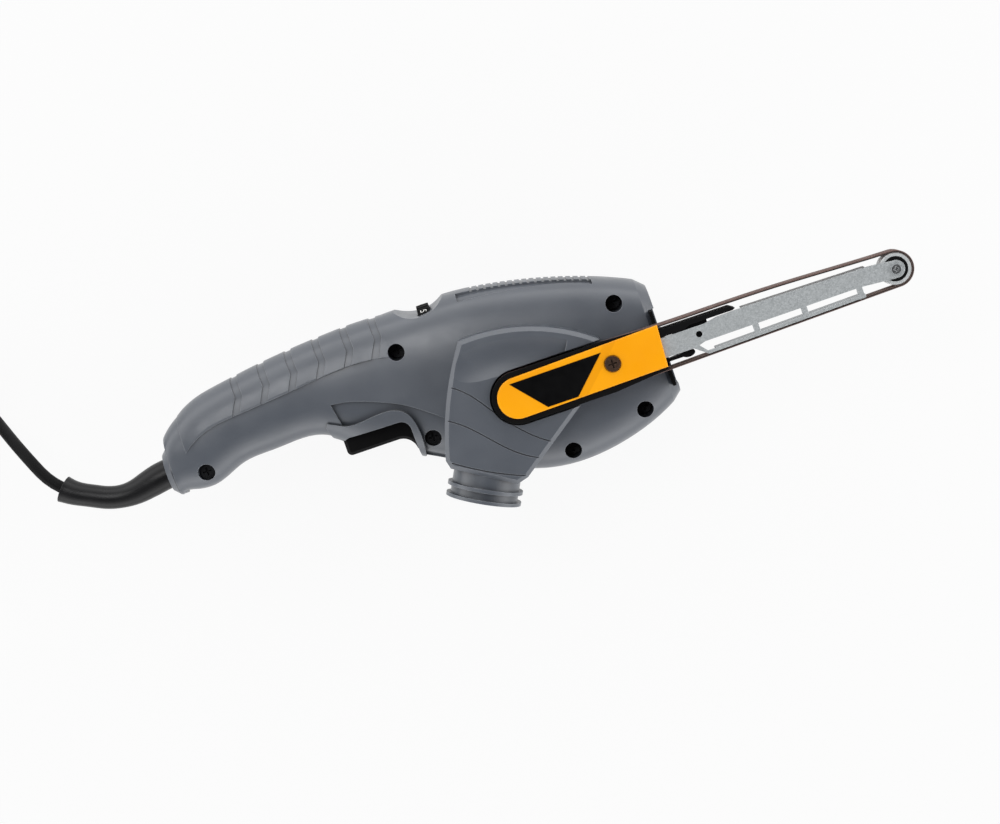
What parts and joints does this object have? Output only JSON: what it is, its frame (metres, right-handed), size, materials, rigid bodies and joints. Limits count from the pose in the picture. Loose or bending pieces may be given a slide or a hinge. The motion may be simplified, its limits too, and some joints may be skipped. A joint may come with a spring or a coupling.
{
  "type": "narrow belt sander",
  "caption": "Hand-held narrow belt sander with a pistol-shaped grey body, sprung belt arm, belt cover, dust spout, trigger, speed dial and mains cord.",
  "frame": {"origin": "middle of the motor housing's flat end, on the drive axis; the tool lies on that end", "axes": "+X along the belt arm to the idler, +Y across it to the top of the handle, +Z along the drive axis to the belt side"},
  "size_m": [0.5849, 0.2004, 0.093],
  "materials": {
    "grey_plastic": "fine grain moulded plastic",
    "black_plastic": "satin moulded plastic",
    "yellow_cover": "painted, satin gloss",
    "label_black": "printed film",
    "zinc": "zinc plated sheet",
    "steel": "plain steel",
    "black_steel": "black oxide",
    "roller_grey": "turned",
    "roller_rubber": "rubber faced",
    "abrasive": "coated abrasive cloth",
    "lamination": "stacked steel laminations",
    "copper": "enamelled copper",
    "carbon": "pressed carbon",
    "fan_plastic": "moulded plastic",
    "switch_plastic": "moulded plastic",
    "board_green": "resin board",
    "film_yellow": "film capacitor case",
    "bronze": "sintered bronze",
    "cord_rubber": "soft black sheath",
    "tie_fabric": "woven strap",
    "pin_nickel": "nickel plated"
  },
  "bodies": {
    "housing": {"housing_left": "grey_plastic", "housing_right": "grey_plastic", "housing_screws": "black_steel", "dust_shroud": "grey_plastic", "belt_carrier": "black_plastic", "carrier_screws": "steel", "belt_cover": "yellow_cover", "cover_label": "label_black", "cover_screw": "black_steel", "tension_spring": "steel", "lever_pin": "steel", "abrasive_belt": "abrasive", "rear_bearing": "steel", "front_bearing": "steel", "stator_core": "lamination", "field_coils": "copper", "brush_holders": "bronze", "carbon_brushes": "carbon", "trigger_spring": "steel", "switch_body": "switch_plastic", "suppression_capacitor": "film_yellow", "dial_potentiometer": "switch_plastic", "speed_board": "board_green", "cord_guard": "cord_rubber", "cord_tail": "cord_rubber", "cord_clamp": "black_plastic", "clamp_screws": "steel", "mains_cord": "cord_rubber", "cord_coil": "cord_rubber", "cord_tie": "tie_fabric", "plug_body": "cord_rubber", "plug_pins": "pin_nickel"},
    "rotor": {"motor_shaft": "steel", "commutator": "copper", "armature_core": "lamination", "armature_winding": "copper", "motor_fan": "fan_plastic", "drive_roller": "roller_rubber", "roller_nut": "steel"},
    "arm": {"belt_arm": "zinc", "idler_axle": "steel", "axle_clip": "steel"},
    "idler": {"idler_roller": "roller_grey", "idler_bush": "black_plastic"},
    "lever": {"release_lever": "black_plastic"},
    "trigger": {"trigger": "black_plastic", "switch_plunger": "switch_plastic"},
    "dial": {"speed_dial": "black_plastic"}
  },
  "joints": [
    {"name": "rotor_spin", "type": "hinge", "parent": "housing", "child": "rotor", "pos_m": [0, 0, 0.04], "axis": [0, 0, 1], "continuous": true},
    {"name": "arm_slide", "type": "slide", "parent": "housing", "child": "arm", "axis": [-1, 0, 0], "range_m": [0, 0.008], "stiffness_N_per_m": 1500, "springref_m": -0.008, "deforming": ["abrasive_belt", "tension_spring"]},
    {"name": "idler_spin", "type": "hinge", "parent": "arm", "child": "idler", "pos_m": [0.19571, 0, 0.082], "axis": [0, 0, 1], "continuous": true},
    {"name": "lever_swing", "type": "hinge", "parent": "housing", "child": "lever", "pos_m": [0.0645, -0.007, 0.0835], "axis": [0, 0, 1], "range_deg": [0, 5], "stiffness_Nm_per_rad": 0.3, "springref_deg": -3.44},
    {"name": "trigger_pull", "type": "slide", "parent": "housing", "child": "trigger", "axis": [0, 1, 0], "range_m": [0, 0.005], "stiffness_N_per_m": 600, "springref_m": -0.004, "deforming": ["trigger_spring"]},
    {"name": "dial_turn", "type": "hinge", "parent": "housing", "child": "dial", "pos_m": [-0.032, 0.0427, 0.047], "axis": [1, 0, 0], "range_deg": [0, 270]}
  ],
  "couplings": [
    {"joint": "idler_spin", "follows": "rotor_spin", "ratio": 1.4386}
  ]
}
